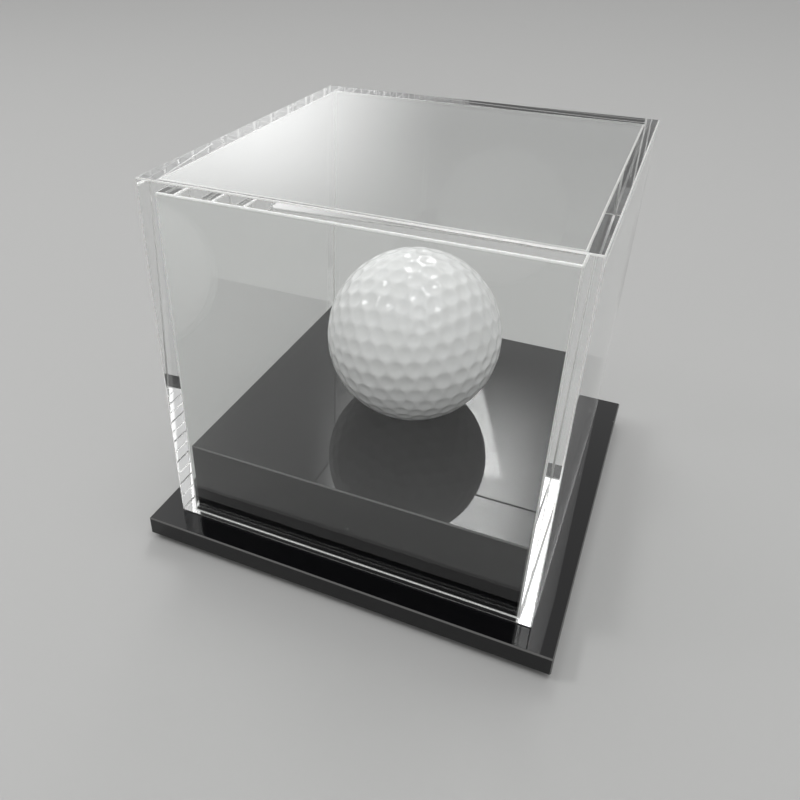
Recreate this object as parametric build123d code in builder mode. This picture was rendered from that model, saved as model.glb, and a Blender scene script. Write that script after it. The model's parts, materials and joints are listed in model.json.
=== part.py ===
import os
from itertools import combinations
from math import acos, sin, sqrt

from build123d import *

# ---------------------------------------------------------------------------
# Driving dimensions, in millimetres
# ---------------------------------------------------------------------------

# The origin is at the middle of the underside: z = 0 is the plane the feet stand on.
SHEET = 3.0  # acrylic sheet of the cover and of the riser
POLISHED_EDGE = 0.3  # chamfer along every outside edge of the sheet

FOOT_DIAMETER = 8.0
FOOT_HEIGHT = 1.5
FOOT_INSET = 10.0  # from the plate's sides to a foot's middle
FOOT_ROUNDING = 0.4

BASE_SIDE = 100.0
BASE_THICKNESS = 5.0

RISER_SIDE = 81.0
RISER_HEIGHT = 20.0
SEAT_HOLE_DIAMETER = 18.6
SEAT_CHAMFER = 0.3

COVER_SIDE = 88.0
COVER_HEIGHT = 85.5

BALL_DIAMETER = 42.7  # the standard size of a golf ball
BALL_SKIN = 1.8
SEAT_CLEARANCE = 0.03

# Dimples lie on a triangular grid laid over each face of an icosahedron. Walking from one
# corner of a face to the next takes STEPS_ALONG grid steps, a turn, and STEPS_ASIDE more.
STEPS_ALONG = 5
STEPS_ASIDE = 2
GRID_EVENNESS = 0.7  # 0 lays the grid flat, which crowds a face's corners; 1 spaces it by angle
DIMPLE_LAND = 0.16  # ball surface left between neighbouring dimples
DIMPLE_DEPTH_RATIO = 0.055  # of a dimple's diameter
DIMPLE_OVERCUT = 0.03
BALL_TURN = (-108.1, 50.7, 149.9)  # degrees about the fixed X, Y and Z axes, in that order

# ---------------------------------------------------------------------------
# Sizes that follow from them
# ---------------------------------------------------------------------------

BASE_TOP = FOOT_HEIGHT + BASE_THICKNESS
RISER_TOP = BASE_TOP + RISER_HEIGHT
COVER_TOP = BASE_TOP + COVER_HEIGHT

BALL_RADIUS = BALL_DIAMETER / 2
CORE_RADIUS = BALL_RADIUS - BALL_SKIN
SEAT_RADIUS = SEAT_HOLE_DIAMETER / 2 + SEAT_CHAMFER  # the circle on which the ball rests
BALL_CENTRE = RISER_TOP + sqrt(BALL_RADIUS**2 - SEAT_RADIUS**2) + SEAT_CLEARANCE

FACINGS = {"front": (0, -1), "back": (0, 1), "left": (-1, 0), "right": (1, 0)}

os.makedirs("parts", exist_ok=True)


def save(piece, name):
    """Label a finished piece and write it to its own file."""
    piece.label = name
    export_step(piece, f"parts/{name}.step")


def outside_edges(edges, side):
    """Those edges that lie on the four outside faces of a square box of this side."""
    reach = side / 2 - POLISHED_EDGE
    return edges.filter_by(lambda e: max(abs(e.center().X), abs(e.center().Y)) > reach)


def corner_edges(edges, side):
    """Those upright edges that stand at the four corners of a square box of this side."""
    reach = side / 2 - POLISHED_EDGE
    upright = edges.filter_by(Axis.Z)
    return upright.filter_by(lambda e: min(abs(e.center().X), abs(e.center().Y)) > reach)


def build_wall(facing, side, height, polish_foot):
    """One upright sheet of a square box on the base plate. The front and back sheets run
    the whole width of the box, and the left and right sheets stand between them."""
    face_x, face_y = facing
    middle = (side - SHEET) / 2
    with BuildPart() as wall:
        with BuildSketch(Plane((face_x * middle, face_y * middle, BASE_TOP))):
            if face_y:
                Rectangle(side, SHEET)
            else:
                Rectangle(SHEET, side - 2 * SHEET)
        extrude(amount=height)
        polished = corner_edges(wall.edges(), side)
        if polish_foot:
            polished += outside_edges(wall.edges().group_by(Axis.Z)[0], side)
        if polished:
            chamfer(polished, POLISHED_EDGE)
    return wall.part


# ---------------------------------------------------------------------------
# Feet: four low round rubber bumpers under the plate's corners
# ---------------------------------------------------------------------------

FOOT_REACH = BASE_SIDE / 2 - FOOT_INSET
FOOT_PLACES = {
    "foot_front_left": (-FOOT_REACH, -FOOT_REACH),
    "foot_front_right": (FOOT_REACH, -FOOT_REACH),
    "foot_back_left": (-FOOT_REACH, FOOT_REACH),
    "foot_back_right": (FOOT_REACH, FOOT_REACH),
}
for foot_name, (foot_x, foot_y) in FOOT_PLACES.items():
    with BuildPart() as foot:
        with BuildSketch(Plane((foot_x, foot_y, 0))):
            Circle(FOOT_DIAMETER / 2)
        extrude(amount=FOOT_HEIGHT)
        fillet(foot.edges().group_by(Axis.Z)[0], FOOT_ROUNDING)
    save(foot.part, foot_name)

# ---------------------------------------------------------------------------
# Base plate: one square of thick sheet with polished edges all round
# ---------------------------------------------------------------------------

with BuildPart() as base_plate:
    with BuildSketch(Plane.XY.offset(FOOT_HEIGHT)):
        Rectangle(BASE_SIDE, BASE_SIDE)
    extrude(amount=BASE_THICKNESS)
    chamfer(base_plate.edges(), POLISHED_EDGE)
save(base_plate.part, "base_plate")

# ---------------------------------------------------------------------------
# Riser: a low hollow box of sheet, with the ball's seat cut in its top
# ---------------------------------------------------------------------------

with BuildPart() as riser_top:
    with BuildSketch(Plane.XY.offset(RISER_TOP - SHEET)):
        Rectangle(RISER_SIDE, RISER_SIDE)
        Circle(SEAT_HOLE_DIAMETER / 2, mode=Mode.SUBTRACT)
    extrude(amount=SHEET)
    upper_edges = riser_top.edges().group_by(Axis.Z)[-1]
    chamfer(upper_edges + corner_edges(riser_top.edges(), RISER_SIDE), POLISHED_EDGE)
save(riser_top.part, "riser_top")

for wall_name, wall_facing in FACINGS.items():
    riser_wall = build_wall(wall_facing, RISER_SIDE, RISER_HEIGHT - SHEET, polish_foot=False)
    save(riser_wall, f"riser_{wall_name}")

# ---------------------------------------------------------------------------
# Cover: five clear sheets cemented into a box that drops over the riser
# ---------------------------------------------------------------------------

with BuildPart() as cover_top:
    with BuildSketch(Plane.XY.offset(COVER_TOP - SHEET)):
        Rectangle(COVER_SIDE, COVER_SIDE)
    extrude(amount=SHEET)
    upper_edges = cover_top.edges().group_by(Axis.Z)[-1]
    chamfer(upper_edges + corner_edges(cover_top.edges(), COVER_SIDE), POLISHED_EDGE)
save(cover_top.part, "cover_top")

for wall_name, wall_facing in FACINGS.items():
    cover_wall = build_wall(wall_facing, COVER_SIDE, COVER_HEIGHT - SHEET, polish_foot=True)
    save(cover_wall, f"cover_{wall_name}")

# ---------------------------------------------------------------------------
# Ball: a rubber core in a dimpled skin
# ---------------------------------------------------------------------------


def icosahedron_faces():
    """The twenty faces, each as its three corners, anticlockwise seen from outside."""
    golden = (1 + sqrt(5)) / 2
    corners = []
    for one in (1, -1):
        for long in (golden, -golden):
            corners += [Vector(0, one, long), Vector(one, long, 0), Vector(long, 0, one)]
    corners = [corner.normalized() for corner in corners]
    not_neighbours = 1.5  # neighbouring corners are 1.05 apart, and the next nearest pairs 1.70
    faces = []
    for a, b, c in combinations(corners, 3):
        if max((a - b).length, (b - c).length, (c - a).length) > not_neighbours:
            continue
        faces.append((a, b, c) if a.dot(b.cross(c)) > 0 else (a, c, b))
    return faces


def dimple_directions():
    """Unit vectors from the ball's middle to the middle of each dimple."""
    grid_cells = STEPS_ALONG**2 + STEPS_ALONG * STEPS_ASIDE + STEPS_ASIDE**2
    face_angle = acos(1 / sqrt(5))
    directions = {}
    for corners in icosahedron_faces():
        for i in range(-STEPS_ASIDE, STEPS_ALONG + 1):
            for j in range(STEPS_ALONG + STEPS_ASIDE + 1):
                share_b = i * (STEPS_ALONG + STEPS_ASIDE) + j * STEPS_ASIDE
                share_c = j * STEPS_ALONG - i * STEPS_ASIDE
                shares = (grid_cells - share_b - share_c, share_b, share_c)
                if min(shares) < 0:
                    continue
                middle = Vector()
                for corner, share in zip(corners, shares):
                    middle += corner * sin(GRID_EVENNESS * face_angle * share / grid_cells)
                middle = middle.normalized()
                for axis, angle in zip((Axis.X, Axis.Y, Axis.Z), BALL_TURN):
                    middle = middle.rotate(axis, angle)
                directions[tuple(round(value, 4) + 0.0 for value in middle)] = middle
    return list(directions.values())


def dimple_cutter(diameter):
    """A lens-shaped solid that cuts one dimple of this diameter into the top of the ball."""
    rim_height = sqrt(BALL_RADIUS**2 - (diameter / 2) ** 2)
    sag = diameter * DIMPLE_DEPTH_RATIO - (BALL_RADIUS - rim_height)
    hollow_radius = ((diameter / 2) ** 2 + sag**2) / (2 * sag)
    lowest = rim_height - sag
    reach = diameter / 2 + DIMPLE_OVERCUT
    shoulder = lowest + hollow_radius - sqrt(hollow_radius**2 - reach**2)
    ceiling = BALL_RADIUS + DIMPLE_OVERCUT
    with BuildPart() as cutter:
        with BuildSketch(Plane.XZ):
            with BuildLine():
                RadiusArc((0, lowest), (reach, shoulder), -hollow_radius)
                Polyline((reach, shoulder), (reach, ceiling), (0, ceiling), (0, lowest))
            make_face()
        revolve(axis=Axis.Z)
    return cutter.part


dimples = {}
directions = dimple_directions()
for direction in directions:
    nearest = min((direction - other).length for other in directions if other is not direction)
    size = round(nearest * BALL_RADIUS - DIMPLE_LAND, 1)
    dimples.setdefault(size, []).append(direction)
cutters = {size: dimple_cutter(size) for size in dimples}

with BuildPart(Plane.XY.offset(BALL_CENTRE)) as ball_shell:
    Sphere(BALL_RADIUS)
    Sphere(CORE_RADIUS, mode=Mode.SUBTRACT)
    for size, middles in dimples.items():
        with Locations(*[Plane((0, 0, 0), z_dir=middle).location for middle in middles]):
            add(cutters[size], mode=Mode.SUBTRACT)
save(ball_shell.part, "ball_shell")

with BuildPart(Plane.XY.offset(BALL_CENTRE)) as ball_core:
    Sphere(CORE_RADIUS)
save(ball_core.part, "ball_core")
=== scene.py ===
import json
import math
from typing import NamedTuple

import bmesh
import bpy
from mathutils import Euler, Matrix, Vector


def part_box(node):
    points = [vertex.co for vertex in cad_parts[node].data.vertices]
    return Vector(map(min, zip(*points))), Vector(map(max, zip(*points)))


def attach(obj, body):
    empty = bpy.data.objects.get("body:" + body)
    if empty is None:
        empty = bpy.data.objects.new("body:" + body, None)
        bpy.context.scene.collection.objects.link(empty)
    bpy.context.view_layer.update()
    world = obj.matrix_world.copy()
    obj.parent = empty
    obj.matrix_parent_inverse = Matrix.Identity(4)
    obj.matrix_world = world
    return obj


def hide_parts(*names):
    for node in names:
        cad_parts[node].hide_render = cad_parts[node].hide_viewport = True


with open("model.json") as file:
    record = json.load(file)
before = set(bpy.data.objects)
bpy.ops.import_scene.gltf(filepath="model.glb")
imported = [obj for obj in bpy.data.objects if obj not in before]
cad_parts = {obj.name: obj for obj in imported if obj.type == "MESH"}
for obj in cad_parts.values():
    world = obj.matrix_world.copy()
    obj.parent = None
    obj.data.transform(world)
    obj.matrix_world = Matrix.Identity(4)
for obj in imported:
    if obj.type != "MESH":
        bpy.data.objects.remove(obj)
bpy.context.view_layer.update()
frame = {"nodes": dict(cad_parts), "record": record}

MM = 0.001

# ---------------------------------------------------------------------------
# Sizes, all in metres and from the frame where it has them
# ---------------------------------------------------------------------------

AIR_GAP = 0.03 * MM  # under the cover's rim, which rests on the base plate but isn't joined to it
SHELL_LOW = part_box("cover_front")[0] + Vector((0, 0, AIR_GAP))
SHELL_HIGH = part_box("cover_top")[1]
SHEET = SHELL_HIGH.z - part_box("cover_top")[0].z
ARRIS = 0.3 * MM  # scraped bevel on the cover's outside edges and round its rim
ARRIS_STEPS = 2
CEMENT = 0.45 * MM  # fillet of cement along the cover's inside corners
CEMENT_STEPS = 3
ROUND_PROFILE = 0.5  # Blender's bevel profile for an arc
TINY = 0.001 * MM  # a corner this close to a plane of the cover counts as on it
SQUARE_CORNER = math.radians(60)  # an edge whose faces turn by more than this is a square corner

BALL_LOW, BALL_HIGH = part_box("ball_shell")
BALL_MIDDLE = (BALL_LOW + BALL_HIGH) / 2
BALL_RADIUS = 21.35 * MM  # a golf ball's standard size: its dimples make the node's box a little smaller

# Dimples lie on a triangular grid laid over each face of an icosahedron, as on the solid ball. Walking
# from one corner of a face to the next takes STEPS_ALONG grid steps, a turn, and STEPS_ASIDE more.
STEPS_ALONG = 5
STEPS_ASIDE = 2
GRID_EVENNESS = 0.7  # 0 lays the grid flat, which crowds a face's corners; 1 spaces it by angle
BALL_TURN = (-108.1, 50.7, 149.9)  # degrees about the fixed X, Y and Z axes, in that order
DIMPLE_LAND = 0.16 * MM  # ball surface left between neighbouring dimples
DIMPLE_DEPTH_RATIO = 0.085  # of a dimple's diameter
BOWL_EASE = 1.2  # 1 is a plain bowl with a sharp rim, and more eases the bowl into the rim

# The rings of points that make up a dimple, each as its share of the dimple's radius and its count.
DIMPLE_RINGS = ((1.0, 30), (0.96, 30), (0.90, 30), (0.78, 24), (0.60, 18), (0.35, 12))

# ---------------------------------------------------------------------------
# Camera
# ---------------------------------------------------------------------------

PICTURE_SIDE = 800
FOCAL_PIXELS = 763.95
VIEW_CENTRE_PIXEL = (345.1, 365.85)  # where the camera points, from the picture's top left corner
CAMERA_PLACE = Vector((51.687, -158.218, 139.688)) * MM
CAMERA_AZIMUTH, CAMERA_ELEVATION, CAMERA_ROLL = 24.131, 32.204, 0.254  # degrees
SENSOR_WIDTH = 36.0  # in millimetres, as Blender has it
CLIP_START, CLIP_END = 0.005, 50.0


def make_camera():
    """A camera at the place and angle of the one that took the photograph."""
    data = bpy.data.cameras.new("camera")
    camera = bpy.data.objects.new("camera", data)
    bpy.context.scene.collection.objects.link(camera)
    bpy.context.scene.camera = camera
    data.sensor_width = SENSOR_WIDTH
    data.lens = FOCAL_PIXELS / PICTURE_SIDE * SENSOR_WIDTH
    data.shift_x = (PICTURE_SIDE / 2 - VIEW_CENTRE_PIXEL[0]) / PICTURE_SIDE
    data.shift_y = (VIEW_CENTRE_PIXEL[1] - PICTURE_SIDE / 2) / PICTURE_SIDE
    data.clip_start, data.clip_end = CLIP_START, CLIP_END
    tilt = Matrix.Rotation(math.radians(90 - CAMERA_ELEVATION), 3, "X")
    turn = Matrix.Rotation(math.radians(CAMERA_AZIMUTH), 3, "Z")
    roll = Matrix.Rotation(math.radians(CAMERA_ROLL), 3, "Z")
    camera.matrix_world = Matrix.Translation(CAMERA_PLACE) @ (turn @ tilt @ roll).to_4x4()


# ---------------------------------------------------------------------------
# Materials
# ---------------------------------------------------------------------------

PLASTIC_IOR = 1.49
NOISE_SPREAD = (0.3, 0.7)  # the range that holds most of a noise texture's values


class Nodes:
    """A small helper that adds and joins the nodes of one tree."""

    def __init__(self, tree):
        self.tree = tree
        self.tree.nodes.clear()

    def add(self, kind, **settings):
        node = self.tree.nodes.new(kind)
        for key, value in settings.items():
            setattr(node, key, value)
        return node

    def join(self, source, target):
        self.tree.links.new(source, target)

    def feed(self, value, target):
        """Join a node's output to the target, or set the target to a plain value."""
        if isinstance(value, bpy.types.NodeSocket):
            self.join(value, target)
        else:
            target.default_value = value

    def coordinates(self):
        return self.add("ShaderNodeTexCoord").outputs["Object"]

    def noise(self, scale, detail, roughness=0.5):
        node = self.add("ShaderNodeTexNoise")
        node.inputs["Scale"].default_value = scale
        node.inputs["Detail"].default_value = detail
        node.inputs["Roughness"].default_value = roughness
        self.join(self.coordinates(), node.inputs["Vector"])
        return node.outputs["Fac"]

    def remap(self, value, source, target):
        """Stretch the source range over the target range, and hold the value within that."""
        node = self.add("ShaderNodeMapRange")
        node.inputs["From Min"].default_value, node.inputs["From Max"].default_value = source
        node.inputs["To Min"].default_value, node.inputs["To Max"].default_value = target
        self.join(value, node.inputs["Value"])
        return node.outputs["Result"]

    def math(self, operation, *values):
        node = self.add("ShaderNodeMath", operation=operation)
        for socket, value in zip(node.inputs, values):
            self.feed(value, socket)
        return node.outputs[0]

    def bump(self, height, distance):
        node = self.add("ShaderNodeBump")
        node.inputs["Distance"].default_value = distance
        node.inputs["Strength"].default_value = 1.0
        self.join(height, node.inputs["Height"])
        return node.outputs["Normal"]

    def blend_colours(self, share, first, second):
        node = self.add("ShaderNodeMix", data_type="RGBA")
        self.join(share, node.inputs["Factor"])
        node.inputs["A"].default_value = (*first, 1)
        node.inputs["B"].default_value = (*second, 1)
        return node.outputs["Result"]

    def blend_shaders(self, share, first, second):
        node = self.add("ShaderNodeMixShader")
        for socket, source in zip(node.inputs, (share, first, second)):
            self.join(source, socket)
        return node.outputs[0]

    def plastic(self, colour, roughness):
        node = self.add("ShaderNodeBsdfPrincipled")
        self.feed(colour, node.inputs["Base Color"])
        self.feed(roughness, node.inputs["Roughness"])
        node.inputs["IOR"].default_value = PLASTIC_IOR
        return node

    def specks(self, spacing, radius, share):
        """
        Small round marks, at most one in each cell of this spacing: 1 on a mark, 0 elsewhere.

        About this share of the cells have one, of any size up to the radius.
        """
        cells = self.add("ShaderNodeTexVoronoi")
        cells.inputs["Scale"].default_value = 1 / spacing
        self.join(self.coordinates(), cells.inputs["Vector"])
        split = self.add("ShaderNodeSeparateColor")
        self.join(cells.outputs["Color"], split.inputs[0])
        size = self.remap(split.outputs["Red"], (0, share), (radius / spacing, 0))
        return self.math("LESS_THAN", cells.outputs["Distance"], size)

    def show(self, shader):
        self.join(shader, self.add("ShaderNodeOutputMaterial").inputs["Surface"])


def new_material(name):
    """A new material, and the helper that adds its nodes."""
    material = bpy.data.materials.new(name)
    material.use_nodes = True
    return material, Nodes(material.node_tree)


def clear_acrylic():
    """Clear sheet: glass to the camera, and a plain tint in shadows and to light off matt surfaces."""
    material, n = new_material("clear_acrylic")
    body = n.plastic((0.972, 0.980, 0.974, 1), 0.0)
    body.inputs["Transmission Weight"].default_value = 1.0
    see_through = n.add("ShaderNodeBsdfTransparent")
    see_through.inputs["Color"].default_value = (0.95, 0.955, 0.952, 1)
    path = n.add("ShaderNodeLightPath")
    bounced = n.blend_shaders(path.outputs["Is Diffuse Ray"], body.outputs[0], see_through.outputs[0])
    n.show(n.blend_shaders(path.outputs["Is Shadow Ray"], bounced, see_through.outputs[0]))
    return material


def scraped_edge():
    """The clear sheets' scraped arrises and cemented corners, which scatter light and look white."""
    material, n = new_material("scraped_edge")
    roughness = n.remap(n.noise(scale=1800, detail=2.0), NOISE_SPREAD, (0.35, 0.50))
    body = n.plastic((0.98, 0.98, 0.965, 1), roughness)
    body.inputs["Transmission Weight"].default_value = 0.4
    n.show(body.outputs[0])
    return material


def black_acrylic():
    """Polished black sheet: a painted highlight in pale grey along its narrow bevels, with a little dust
    on its faces.
    """
    material, n = new_material("black_acrylic")
    black = (0.003, 0.003, 0.0035)
    # grey of the dust specks, and of the painted highlight along the bevels
    dust_and_highlight_grey = (0.30, 0.30, 0.29)
    bevel_to_face = (0.90, 0.97)  # the normal's largest part is 0.71 on a bevel and 1 on a face
    bevel_highlight_paleness = 0.35
    dust_and_highlight_roughness = 0.6
    normal = n.add("ShaderNodeSeparateXYZ")
    n.join(n.add("ShaderNodeTexCoord").outputs["Normal"], normal.inputs[0])
    sizes = [n.math("ABSOLUTE", normal.outputs[axis]) for axis in "XYZ"]
    largest = n.math("MAXIMUM", n.math("MAXIMUM", sizes[0], sizes[1]), sizes[2])
    # the bevels get a painted highlight: paler and rougher than the black faces
    bevel = n.remap(largest, bevel_to_face, (1.0, 0.0))
    dust = n.specks(spacing=7 * MM, radius=0.16 * MM, share=0.35)
    # painted highlight on the bevels, or dust on the faces, whichever is paler
    dust_and_highlight = n.math("MAXIMUM", n.math("MULTIPLY", bevel, bevel_highlight_paleness), dust)
    colour = n.blend_colours(dust_and_highlight, black, dust_and_highlight_grey)
    n.show(n.plastic(colour, n.math("MULTIPLY", dust_and_highlight, dust_and_highlight_roughness)).outputs[0])
    return material


def ball_paint():
    """White paint with a faint mottle and ripple, under a glossy clear coat."""
    material, n = new_material("ball_paint")
    mottle = n.remap(n.noise(scale=110, detail=3.0), (0.35, 0.65), (0.0, 1.0))
    whites = n.blend_colours(mottle, (0.79, 0.79, 0.785), (0.82, 0.82, 0.82))
    roughness = n.remap(n.noise(scale=700, detail=2.0), NOISE_SPREAD, (0.45, 0.55))
    body = n.plastic(whites, roughness)
    body.inputs["Specular IOR Level"].default_value = 0.2
    body.inputs["Coat Weight"].default_value = 0.85
    body.inputs["Coat Roughness"].default_value = 0.02
    ripple = n.bump(n.noise(scale=1500, detail=2.0), distance=0.004 * MM)
    n.join(ripple, body.inputs["Normal"])
    n.show(body.outputs[0])
    return material


def rubber(name, dark, light):
    """Matt rubber with a fine grain between two shades."""
    material, n = new_material(name)
    grain = n.noise(scale=2200, detail=4.0, roughness=0.6)
    roughness = n.remap(grain, NOISE_SPREAD, (0.65, 0.85))
    body = n.plastic(n.blend_colours(grain, dark, light), roughness)
    n.join(n.bump(grain, distance=0.03 * MM), body.inputs["Normal"])
    n.show(body.outputs[0])
    return material


def floor_paint():
    """Plain matt pale grey with no gloss."""
    material, n = new_material("floor_paint")
    body = n.plastic((0.45, 0.45, 0.445, 1), 0.9)
    body.inputs["Specular IOR Level"].default_value = 0.0
    n.show(body.outputs[0])
    return material


# ---------------------------------------------------------------------------
# Pieces
# ---------------------------------------------------------------------------


def new_piece(name, mesh, *materials):
    """An object with this mesh, and with these materials in this order."""
    piece = bpy.data.objects.new(name, mesh)
    bpy.context.scene.collection.objects.link(piece)
    for material in materials:
        mesh.materials.append(material)
    return piece


def new_mesh(name, bm):
    """A mesh of what has been modelled in bm, which is freed."""
    mesh = bpy.data.meshes.new(name)
    bm.to_mesh(mesh)
    bm.free()
    return mesh


def box_corners(low, high):
    """A box's lower four corners and then its upper four, anticlockwise seen from above."""
    square = ((low.x, low.y), (high.x, low.y), (high.x, high.y), (low.x, high.y))
    return [Vector((x, y, z)) for z in (low.z, high.z) for x, y in square]


def cover_mesh():
    """The five cemented sheets as one clear solid: a square box, open below, with one cavity."""
    bm = bmesh.new()
    cavity_low = SHELL_LOW + Vector((SHEET, SHEET, 0))
    cavity_high = SHELL_HIGH - Vector((SHEET, SHEET, SHEET))
    outer = [bm.verts.new(corner) for corner in box_corners(SHELL_LOW, SHELL_HIGH)]
    inner = [bm.verts.new(corner) for corner in box_corners(cavity_low, cavity_high)]
    for i in range(4):
        j = (i + 1) % 4
        bm.faces.new((outer[i], outer[j], outer[j + 4], outer[i + 4]))
        bm.faces.new((inner[j], inner[i], inner[i + 4], inner[j + 4]))
        bm.faces.new((outer[j], outer[i], inner[i], inner[j]))
    bm.faces.new(outer[4:])
    bm.faces.new(inner[:3:-1])
    bm.normal_update()

    def on_rim(edge):
        return all(v.co.z < SHELL_LOW.z + TINY for v in edge.verts)

    def on_outside(edge):
        return all(max(abs(v.co.x), abs(v.co.y)) > SHELL_HIGH.x - TINY for v in edge.verts)

    def bevel(edges, size, steps):
        """Round these edges, in the second of the cover's materials."""
        bmesh.ops.bevel(bm, geom=edges, offset=size, segments=steps, profile=ROUND_PROFILE,
                        affect="EDGES", material=1)

    inside = [e for e in bm.edges if all(v in inner for v in e.verts) and not on_rim(e)]
    bevel(inside, CEMENT, CEMENT_STEPS)
    square = [e for e in bm.edges if e.calc_face_angle() > SQUARE_CORNER]
    bevel([e for e in square if on_rim(e) or on_outside(e)], ARRIS, ARRIS_STEPS)
    bmesh.ops.recalc_face_normals(bm, faces=bm.faces)
    return new_mesh("clear_cover", bm)


def icosahedron_faces():
    """The twenty faces, each as its three corners, anticlockwise seen from outside."""
    golden = (1 + math.sqrt(5)) / 2
    corners = []
    for one in (1, -1):
        for long in (golden, -golden):
            corners += [Vector(c).normalized() for c in ((0, one, long), (one, long, 0), (long, 0, one))]
    not_neighbours = 1.5  # neighbouring corners are 1.05 apart, and the next nearest pairs 1.70
    faces = []
    for i, a in enumerate(corners):
        for j, b in enumerate(corners[:i]):
            for c in corners[:j]:
                if max((a - b).length, (b - c).length, (c - a).length) < not_neighbours:
                    faces.append((a, b, c) if a.dot(b.cross(c)) > 0 else (a, c, b))
    return faces


def dimple_directions():
    """Unit vectors from the ball's middle to the middle of each dimple."""
    grid_cells = STEPS_ALONG**2 + STEPS_ALONG * STEPS_ASIDE + STEPS_ASIDE**2
    face_angle = math.acos(1 / math.sqrt(5))
    turn = Euler([math.radians(angle) for angle in BALL_TURN], "XYZ").to_matrix()
    found = {}
    for corners in icosahedron_faces():
        for i in range(-STEPS_ASIDE, STEPS_ALONG + 1):
            for j in range(STEPS_ALONG + STEPS_ASIDE + 1):
                share_b = i * (STEPS_ALONG + STEPS_ASIDE) + j * STEPS_ASIDE
                share_c = j * STEPS_ALONG - i * STEPS_ASIDE
                shares = (grid_cells - share_b - share_c, share_b, share_c)
                if min(shares) < 0:
                    continue
                middle = Vector()
                for corner, share in zip(corners, shares):
                    middle += corner * math.sin(GRID_EVENNESS * face_angle * share / grid_cells)
                middle = turn @ middle.normalized()
                found[tuple(round(value, 4) + 0.0 for value in middle)] = middle
    return list(found.values())


def dimple_depth(share, diameter):
    """How far a point at this share of a dimple's radius lies under the ball's sphere."""
    return diameter * DIMPLE_DEPTH_RATIO * (1 - share * share) ** BOWL_EASE


def dimple_points(middle, diameter):
    """The points of one dimple, as unit vectors from the ball's middle, each with its depth."""
    side = middle.orthogonal().normalized()
    other_side = middle.cross(side)
    points = [(middle, dimple_depth(0, diameter))]
    for ring, (share, count) in enumerate(DIMPLE_RINGS):
        angle = share * (diameter / 2) / BALL_RADIUS
        stagger = 0.5 * (ring % 2)  # every other ring is turned by half a step
        for step in range(count):
            turn = 2 * math.pi * (step + stagger) / count
            away = side * math.cos(turn) + other_side * math.sin(turn)
            point = middle * math.cos(angle) + away * math.sin(angle)
            points.append((point, dimple_depth(share, diameter)))
    return points


def ball_mesh():
    """The hull of all the dimples' points on a sphere, each then lowered to its depth."""
    middles = dimple_directions()
    points = []
    for k, middle in enumerate(middles):
        nearest = min((middle - other).length for m, other in enumerate(middles) if m != k)
        diameter = round((nearest * BALL_RADIUS - DIMPLE_LAND) / MM, 1) * MM
        points += dimple_points(middle, diameter)
    bm = bmesh.new()
    verts = [bm.verts.new(direction) for direction, depth in points]
    bmesh.ops.convex_hull(bm, input=verts)
    for vert, (direction, depth) in zip(verts, points):
        vert.co = vert.co * (BALL_RADIUS - depth) + BALL_MIDDLE
    loose = [vert for vert in bm.verts if not vert.link_faces]
    bmesh.ops.delete(bm, geom=loose, context="VERTS")
    bmesh.ops.recalc_face_normals(bm, faces=bm.faces)
    mesh = new_mesh("dimpled_ball", bm)
    mesh.shade_smooth()
    return mesh


# ---------------------------------------------------------------------------
# Studio
# ---------------------------------------------------------------------------


class Softbox(NamedTuple):
    """
    A patch of the studio's sky that glows.

    Its middle, half size and soft border are each an azimuth and an elevation, in degrees. Azimuth
    runs from straight behind the case, which is 0, towards its right, which is 90. Lean is how far
    the patch's sides move over for each degree that they rise.
    """

    middle: tuple
    half_size: tuple
    border: tuple
    strength: float
    lean: float = 0.0


SOFTBOXES = (
    Softbox((-50, 12), (18, 2), (16, 12), 1.85),  # window, low
    Softbox((-60, 40), (15, 10), (15, 8), 0.8),  # window, high
    Softbox((0, 45), (60, 15), (50, 10), 0.58),  # back wall
    Softbox((-15, 14), (35, 6), (35, 20), 0.15),  # foot of the back wall
    Softbox((-15, 46), (4, 4), (9, 11), 10.0),  # glow round the pane
    Softbox((-15.9, 36.4), (5.1, 2.9), (0.5, 0.5), 7.0, lean=0.45),  # pane
    Softbox((10, 42), (5, 8), (5, 5), 2.1),  # second pane, to the right
    Softbox((140, 62), (25, 11), (20, 10), 2.2),  # front, high
    Softbox((160, 25), (50, 8), (30, 15), 0.7),  # front, low
    Softbox((0, 0), (180, 8), (1, 8), 0.25),  # horizon, all the way round
)
SKY = 0.2  # strength of the sky between the patches
BACKDROP = 0.55  # what the camera itself sees beyond the floor

FLOOR_RADIUS = 6.0
FLOOR_SEGMENTS = 96
LAMP_AIM = Vector((0, 0, 0))  # the middle of the case's underside
LIGHT_BOUNCES = 48  # light in a clear sheet is turned back many times before it leaves by an edge


def angle_share(n, angle, middle, half, border):
    """1 within half of the middle angle, easing to 0 over the border."""
    turned = n.math("SUBTRACT", angle, math.radians(middle))
    away = n.math("ABSOLUTE", n.math("WRAP", turned, math.pi, -math.pi))
    edge = n.remap(away, (math.radians(half), math.radians(half + border)), (1.0, 0.0))
    edge.node.interpolation_type = "SMOOTHSTEP"
    return edge


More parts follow.
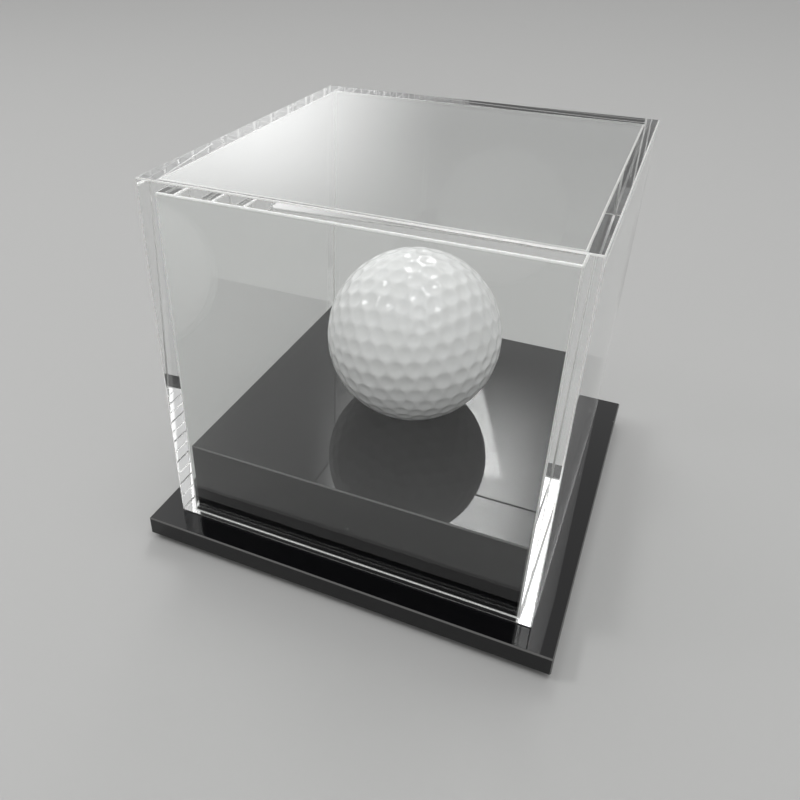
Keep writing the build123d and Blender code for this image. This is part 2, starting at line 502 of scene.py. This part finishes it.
def world_light():
    """The studio's sky, which lights the case. The camera sees a plain backdrop in its place."""
    world = bpy.data.worlds.new("studio")
    bpy.context.scene.world = world
    world.use_nodes = True
    n = Nodes(world.node_tree)
    background = n.add("ShaderNodeBackground")
    direction = n.add("ShaderNodeSeparateXYZ")
    n.join(n.add("ShaderNodeTexCoord").outputs["Generated"], direction.inputs[0])
    azimuth = n.math("ARCTAN2", direction.outputs["X"], direction.outputs["Y"])
    elevation = n.math("ARCSINE", direction.outputs["Z"])
    total = SKY
    for box in SOFTBOXES:
        rise = n.math("SUBTRACT", elevation, math.radians(box.middle[1]))
        upright = n.math("SUBTRACT", azimuth, n.math("MULTIPLY", rise, box.lean))
        across = angle_share(n, upright, box.middle[0], box.half_size[0], box.border[0])
        up = angle_share(n, elevation, box.middle[1], box.half_size[1], box.border[1])
        glow = n.math("MULTIPLY", n.math("MULTIPLY", across, up), box.strength)
        total = n.math("ADD", glow, total)
    seen = n.add("ShaderNodeMix")
    n.join(n.add("ShaderNodeLightPath").outputs["Is Camera Ray"], seen.inputs["Factor"])
    n.join(total, seen.inputs["A"])
    seen.inputs["B"].default_value = BACKDROP
    n.join(seen.outputs["Result"], background.inputs["Strength"])
    n.join(background.outputs[0], n.add("ShaderNodeOutputWorld").inputs["Surface"])


def soft_lamp(name, place, size, power):
    """A rectangular lamp at this place, turned towards the case."""
    data = bpy.data.lights.new(name, "AREA")
    data.shape = "RECTANGLE"
    data.size, data.size_y = size
    data.energy = power
    lamp = bpy.data.objects.new(name, data)
    bpy.context.scene.collection.objects.link(lamp)
    lamp.location = place
    lamp.rotation_mode = "QUATERNION"
    lamp.rotation_quaternion = (LAMP_AIM - Vector(place)).to_track_quat("-Z", "Y")


def make_studio():
    """The floor and all the light."""
    bm = bmesh.new()
    bmesh.ops.create_circle(bm, cap_ends=True, segments=FLOOR_SEGMENTS, radius=FLOOR_RADIUS)
    floor = new_piece("floor", new_mesh("floor", bm), floor_paint())
    world_light()
    soft_lamp("ceiling lamp", place=(0.27, 0.0, 1.22), size=(0.23, 0.23), power=3.0)
    soft_lamp("side lamp", place=(-0.72, -0.34, 0.95), size=(0.25, 0.20), power=3.2)


def paint_solids():
    """Give each CAD node that is shown the finish of its material slot."""
    finishes = {
        "acrylic_black": black_acrylic(),
        "rubber_foot": rubber("foot_rubber", (0.012, 0.012, 0.012), (0.035, 0.035, 0.034)),
        "ball_rubber": rubber("core_rubber", (0.30, 0.32, 0.36), (0.40, 0.42, 0.45)),
    }
    slots = {row["node"]: row["material_slot"] for row in frame["record"]["subparts"]}
    for node, piece in frame["nodes"].items():
        if slots[node] in finishes:
            for place in piece.material_slots:
                place.material = finishes[slots[node]]


cover = new_piece("clear_cover", cover_mesh(), clear_acrylic(), scraped_edge())
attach(cover, "cover")
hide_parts("cover_top", "cover_front", "cover_back", "cover_left", "cover_right")

ball = new_piece("dimpled_ball", ball_mesh(), ball_paint())
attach(ball, "ball")
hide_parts("ball_shell")

paint_solids()
make_studio()
make_camera()

scene = bpy.context.scene
scene.view_settings.view_transform = "Standard"
scene.cycles.max_bounces = LIGHT_BOUNCES
scene.cycles.transmission_bounces = LIGHT_BOUNCES
scene.cycles.transparent_max_bounces = LIGHT_BOUNCES
scene.cycles.glossy_bounces = LIGHT_BOUNCES
